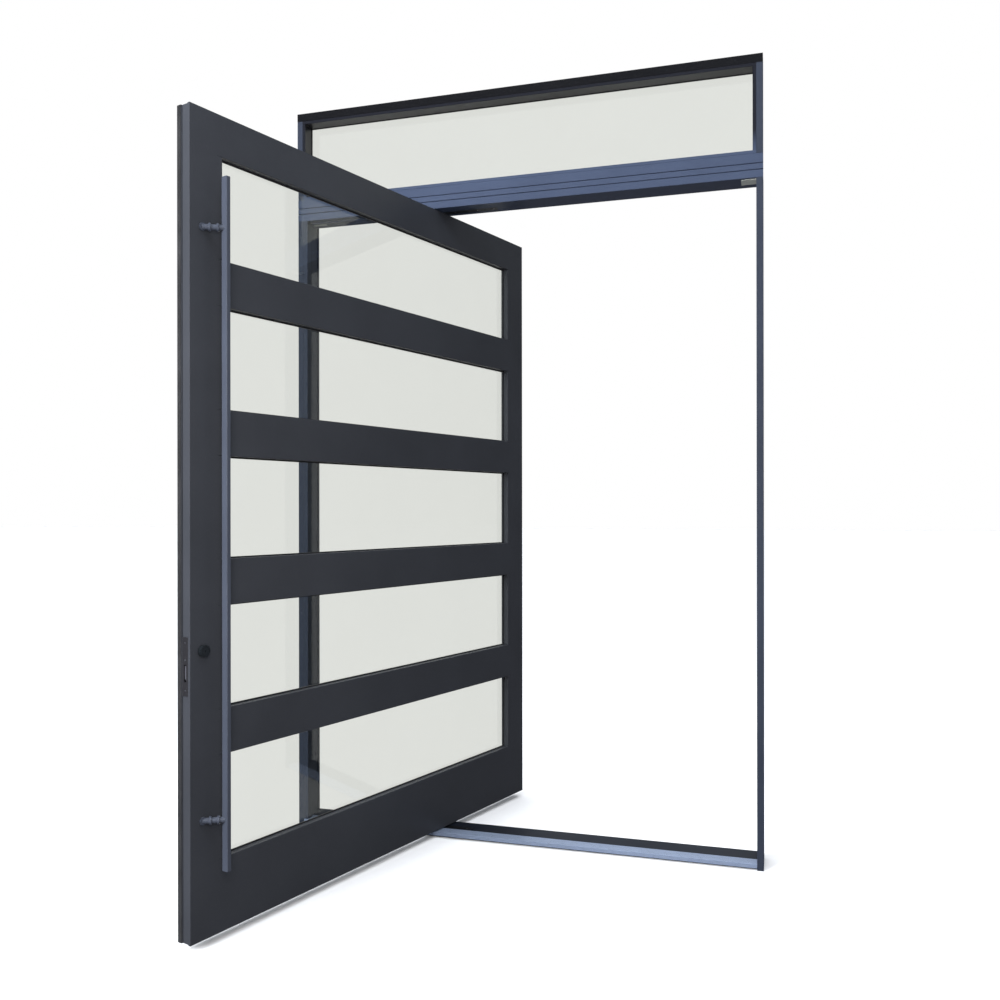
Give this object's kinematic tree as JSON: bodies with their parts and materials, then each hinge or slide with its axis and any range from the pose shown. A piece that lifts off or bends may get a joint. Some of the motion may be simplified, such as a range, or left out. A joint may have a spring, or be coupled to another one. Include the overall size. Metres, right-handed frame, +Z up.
{
  "type": "glass door",
  "caption": "Slim glazed aluminium pivot door standing open in its frame, with a fixed light above, full-height pull bar and cylinder lock.",
  "frame": {"origin": "middle of the underside of the sill, halfway through the depth of the frame", "axes": "+Z up along the jambs, +X along the sill towards the lock jamb, -Y the side the lock edge of the leaf opens to"},
  "size_m": [1.9, 1.7695, 3],
  "materials": {
    "charcoal_coating": "matte powder coating, charcoal grey",
    "slate_coating": "matte powder coating, lit blue-grey",
    "handle_coating": "satin coating, dark grey",
    "tread_metal": "anodised, satin",
    "hardware_steel": "brushed",
    "case_steel": "zinc plated, dull",
    "cleat_metal": "mill finish",
    "clear_glass": "clear float glass with a faint green-grey tint",
    "seal_rubber": "matte black",
    "block_plastic": "matte black",
    "pad_plastic": "matte, off-white"
  },
  "bodies": {
    "frame": {"left_jamb": "charcoal_coating", "right_jamb": "charcoal_coating", "light_jambs": "charcoal_coating", "frame_head": "charcoal_coating", "transom_rail": "slate_coating", "coupling_profile": "slate_coating", "door_head": "slate_coating", "sill_profile": "charcoal_coating", "sill_tread": "tread_metal", "transom_glass": "clear_glass", "transom_beads_front": "slate_coating", "transom_beads_rear": "slate_coating", "transom_gaskets": "seal_rubber", "transom_setting_blocks": "block_plastic", "heel_stop": "charcoal_coating", "head_stop": "charcoal_coating", "stop_seals": "seal_rubber", "strike_plate": "hardware_steel", "strike_box": "case_steel", "top_pivot_plate": "hardware_steel", "top_pivot_pin": "hardware_steel", "bottom_pivot_plate": "hardware_steel", "bottom_pivot_spindle": "hardware_steel", "head_corner_pads": "pad_plastic", "frame_screws": "hardware_steel", "plate_screws": "hardware_steel"},
    "leaf": {"lock_stile": "charcoal_coating", "pivot_stile": "charcoal_coating", "top_rail": "charcoal_coating", "bottom_rail": "charcoal_coating", "mid_rail_1": "charcoal_coating", "mid_rail_2": "charcoal_coating", "mid_rail_3": "charcoal_coating", "mid_rail_4": "charcoal_coating", "glass_pane_1": "clear_glass", "glass_pane_2": "clear_glass", "glass_pane_3": "clear_glass", "glass_pane_4": "clear_glass", "glass_pane_5": "clear_glass", "leaf_beads_horizontal": "charcoal_coating", "leaf_beads_vertical": "charcoal_coating", "bead_side_gaskets": "seal_rubber", "lip_side_gaskets": "seal_rubber", "leaf_setting_blocks": "block_plastic", "edge_seals": "seal_rubber", "rail_brush_seals": "block_plastic", "rail_cleats": "cleat_metal", "handle_bar": "handle_coating", "handle_posts": "handle_coating", "handle_bolts": "hardware_steel", "lock_case": "case_steel", "lock_faceplate": "charcoal_coating", "faceplate_screws": "hardware_steel", "cylinder_body": "hardware_steel", "cylinder_collar": "handle_coating", "top_pivot_socket": "hardware_steel", "bottom_pivot_shoe": "hardware_steel"},
    "swing_bolt": {"swing_bolt": "hardware_steel"},
    "cylinder_plug": {"cylinder_plug": "hardware_steel"}
  },
  "joints": [
    {"name": "leaf_pivot", "type": "hinge", "parent": "frame", "child": "leaf", "pos_m": [-0.335, 0, 0], "axis": [0, 0, 1], "range_deg": [-12.7, 107.3]},
    {"name": "cylinder_turn", "type": "hinge", "parent": "leaf", "child": "cylinder_plug", "pos_m": [-0.66624, -1.16102, 0.902], "axis": [0.9548, -0.2974, 0], "range_deg": [0, 360]},
    {"name": "bolt_swing", "type": "hinge", "parent": "leaf", "child": "swing_bolt", "pos_m": [-0.69802, -1.18569, 0.823], "axis": [0.9548, -0.2974, 0], "range_deg": [0, 90]}
  ],
  "couplings": [
    {"joint": "bolt_swing", "follows": "cylinder_turn", "ratio": 0.25}
  ]
}
